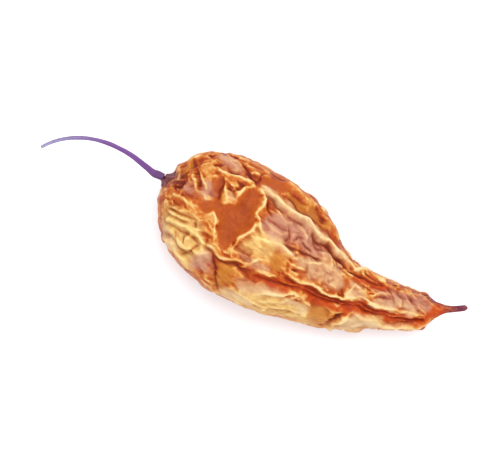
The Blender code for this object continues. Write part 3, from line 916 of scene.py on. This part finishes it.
def driedStalk():
    # dried chilli stalk: a woody stem that has shrunk round its fibres, dull, with fine lengthwise ribs;
    # the colour goes from violet-brown at the pod to lavender grey at the broken end
    made, tree, shader = newMaterial("driedStalk")
    share = addNode(tree, "ShaderNodeAttribute", attribute_name="share").outputs["Fac"]
    groove = addNode(tree, "ShaderNodeAttribute", attribute_name="groove").outputs["Fac"]
    place = addNode(tree, "ShaderNodeTexCoord").outputs["Object"]
    fibre = addNode(tree, "ShaderNodeTexNoise", {"Vector": place, "Scale": 1 / (stemRod["fibreSize"] * mm),
                                                 "Detail": 4.0}).outputs["Fac"]
    ramp = addNode(tree, "ShaderNodeValToRGB", {"Fac": share})
    stops = ramp.color_ramp.elements
    for k, (at, shade) in enumerate(stemRod["shades"]):
        stop = stops[k] if k < 2 else stops.new(at)
        stop.position = at
        stop.color = linearColour(shade)
    # the grooves between the ribs are painted darker, broken up by the fibre noise: painted shade in the
    # grooves
    inGroove = addNode(tree, "ShaderNodeMath", {0: groove, 1: fibre}, operation="MULTIPLY").outputs[0]
    stalk = addNode(tree, "ShaderNodeMix", {0: inGroove, 6: ramp.outputs["Color"],
                                            7: linearColour(stemRod["grooveShade"])}, data_type="RGBA")
    finishShader(tree, shader, stalk.outputs[2], stemRod["roughness"], fibre, 0.5, stemRod["fibreDepth"])
    return made


stem.data.materials.append(driedStalk())

# Calyx: the small toothed cap left where the flower was, shrunk on to the shoulder
calyxCap = {
    "around": 120,
    "along": 22,  # rings from the neck out to the edge
    "radius": 1.65,  # to the bays between its teeth
    "teeth": 5,
    "toothLength": 0.65,
    "toothTurn": 0.4,  # radians
    "thickness": 0.22,
    "veinRise": 0.22,
    "neckRise": 0.7,
    "neckWidth": 1.25,  # in stem radii
    "sunk": 0.15,  # how far its underside lies in the skin
    "seed": 33,
    "fleckSize": 0.8,
    "fleckDepth": 0.12,
    "roughness": 0.65,
    "shades": [(0.3, "#3e141c"), (0.7, "#6e2c34")],
    "veinShade": "#7c3c42",
}


def buildCalyxCap():
    shape = calyxCap
    axis = stemHeading[0]
    side, up = sideAndUp(axis)
    skin = formOf(pod)[1]
    root = stemLine[0]
    neck = stemRadii[0] * shape["neckWidth"]
    angles = np.arange(shape["around"]) / shape["around"] * 2 * math.pi
    tooth = np.abs(np.cos(shape["teeth"] * angles / 2 + shape["toothTurn"])) ** 5
    vein = np.abs(np.cos(shape["teeth"] * angles / 2 + shape["toothTurn"])) ** 14  # narrower than its tooth
    reach = shape["radius"] + shape["toothLength"] * tooth + 0.25 * waveNoise(
        np.stack([np.cos(angles), np.sin(angles), 0 * angles], axis=-1) * 3, 2.0, shape["seed"])
    top = np.linspace(0, 1, shape["along"])
    rows = []
    for k, share in enumerate(list(top) + list(top[::-1][1:])):
        under = k >= len(top)
        radius = neck * 0.7 + share * (reach - neck * 0.7)
        flat = root + radius[:, None] * (np.cos(angles)[:, None] * side + np.sin(angles)[:, None] * up)
        ring = []
        for place, r, i in zip(flat, radius, range(len(angles))):
            start = place + (12 - (place - root) @ axis) * axis  # well clear of the pod
            hit = skin.ray_cast(Vector(start), Vector(-axis), 40)[0]
            base = np.array(hit) if hit is not None else place
            rise = shape["neckRise"] * math.exp(-2.6 * max(0, r - neck) / (shape["radius"] - neck))
            wrinkle = 0.12 * waveNoise(base[None], 1.1, shape["seed"] + 1)[0] * share
            edge = math.sqrt(max(0, 1 - share ** 6))  # rounds the cap off at its edge
            rib = shape["veinRise"] * vein[i] * (1 - 0.5 * share)
            lift = -shape["sunk"] if under else rise + shape["thickness"] * edge + rib + wrinkle
            ring.append(base + lift * axis)
        rows.append(ring)
    grid = np.array(rows)
    points = np.concatenate([grid.reshape(-1, 3), grid[[0, -1]].mean(axis=1)])
    calyx = meshObject("calyxCap", points * mm, gridFaces(len(grid), shape["around"]))
    storeValue(calyx, "vein", np.concatenate([np.tile(vein, len(grid)), [0, 0]]))
    print("calyx: lofted over", round(2 * shape["radius"], 1), "mm")
    return calyx


calyx = buildCalyxCap()
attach(calyx, "root")
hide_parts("calyx")


def driedCap():
    # dried calyx: leathery green tissue gone brown and violet, dull, with paler veins to its teeth
    made, tree, shader = newMaterial("driedCalyx")
    vein = addNode(tree, "ShaderNodeAttribute", attribute_name="vein").outputs["Fac"]
    place = addNode(tree, "ShaderNodeTexCoord").outputs["Object"]
    fleck = addNode(tree, "ShaderNodeTexNoise", {"Vector": place, "Scale": 1 / (calyxCap["fleckSize"] * mm),
                                                 "Detail": 5.0}).outputs["Fac"]
    ramp = addNode(tree, "ShaderNodeValToRGB", {"Fac": fleck})
    for stop, (at, shade) in zip(ramp.color_ramp.elements, calyxCap["shades"]):
        stop.position = at
        stop.color = linearColour(shade)
    leaf = addNode(tree, "ShaderNodeMix", {0: vein, 6: ramp.outputs["Color"],
                                           7: linearColour(calyxCap["veinShade"])}, data_type="RGBA")
    finishShader(tree, shader, leaf.outputs[2], calyxCap["roughness"], fleck, 0.6, calyxCap["fleckDepth"])
    return made


calyx.data.materials.append(driedCap())

# Studio
studio = {
    "floorWhite": "#fbfbfd",
    "floorReach": 3.0,  # metres to each side
    "skyWhite": "#fafafc",
    "skyStrength": 0.95,
    # each lamp's place and size in metres, and its power
    "lamps": {"key": ((-0.05, 0.45, 0.95), 0.8, 7), "fill": ((0.25, -0.4, 0.9), 1.2, 4)},
    "roll": 29.4,  # degrees that the pepper's length falls to the right in the frame
    "across": 104,  # mm that the frame shows
    "distance": 900,
    "sensor": 36,
}

floorMesh = bpy.data.meshes.new("floor")
reach = studio["floorReach"]
floorMesh.from_pydata([(-reach, -reach, 0), (reach, -reach, 0), (reach, reach, 0), (-reach, reach, 0)], [],
                      [(0, 1, 2, 3)])
floor = addObject("floor", floorMesh)
# matt white board: it bounces light softly and shows no gloss, so the eye sees only a faint shadow on it
board, _, boardShader = newMaterial("whiteBoard")
boardShader.inputs["Base Color"].default_value = linearColour(studio["floorWhite"])
boardShader.inputs["Roughness"].default_value = 0.9
floorMesh.materials.append(board)
floor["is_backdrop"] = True

world = bpy.data.worlds.new("studio")
bpy.context.scene.world = world
world.use_nodes = True
sky = world.node_tree.nodes["Background"].inputs
sky["Color"].default_value = linearColour(studio["skyWhite"])
sky["Strength"].default_value = studio["skyStrength"]

for name, (place, size, power) in studio["lamps"].items():
    lamp = bpy.data.lights.new(name, "AREA")
    lamp.shape = "SQUARE"
    lamp.size = size
    lamp.energy = power
    lampObject = addObject(name, lamp)
    lampObject.location = place
    aim = Vector((0, 0, 0.01)) - Vector(place)
    lampObject.rotation_euler = aim.to_track_quat("-Z", "Y").to_euler()

low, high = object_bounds()
camera = bpy.data.cameras.new("camera")
cameraObject = addObject("camera", camera)
camera.sensor_width = studio["sensor"]
camera.lens = studio["sensor"] * studio["distance"] / studio["across"]
centre = (low + high) / 2
cameraObject.location = (centre.x, centre.y, studio["distance"] * mm)
cameraObject.rotation_euler = (0, 0, math.radians(studio["roll"]))
camera.clip_start, camera.clip_end = 0.01, 20
bpy.context.scene.camera = cameraObject
bpy.context.scene.view_settings.view_transform = "Standard"
print("studio: floor, sky, two lamps and the camera set")
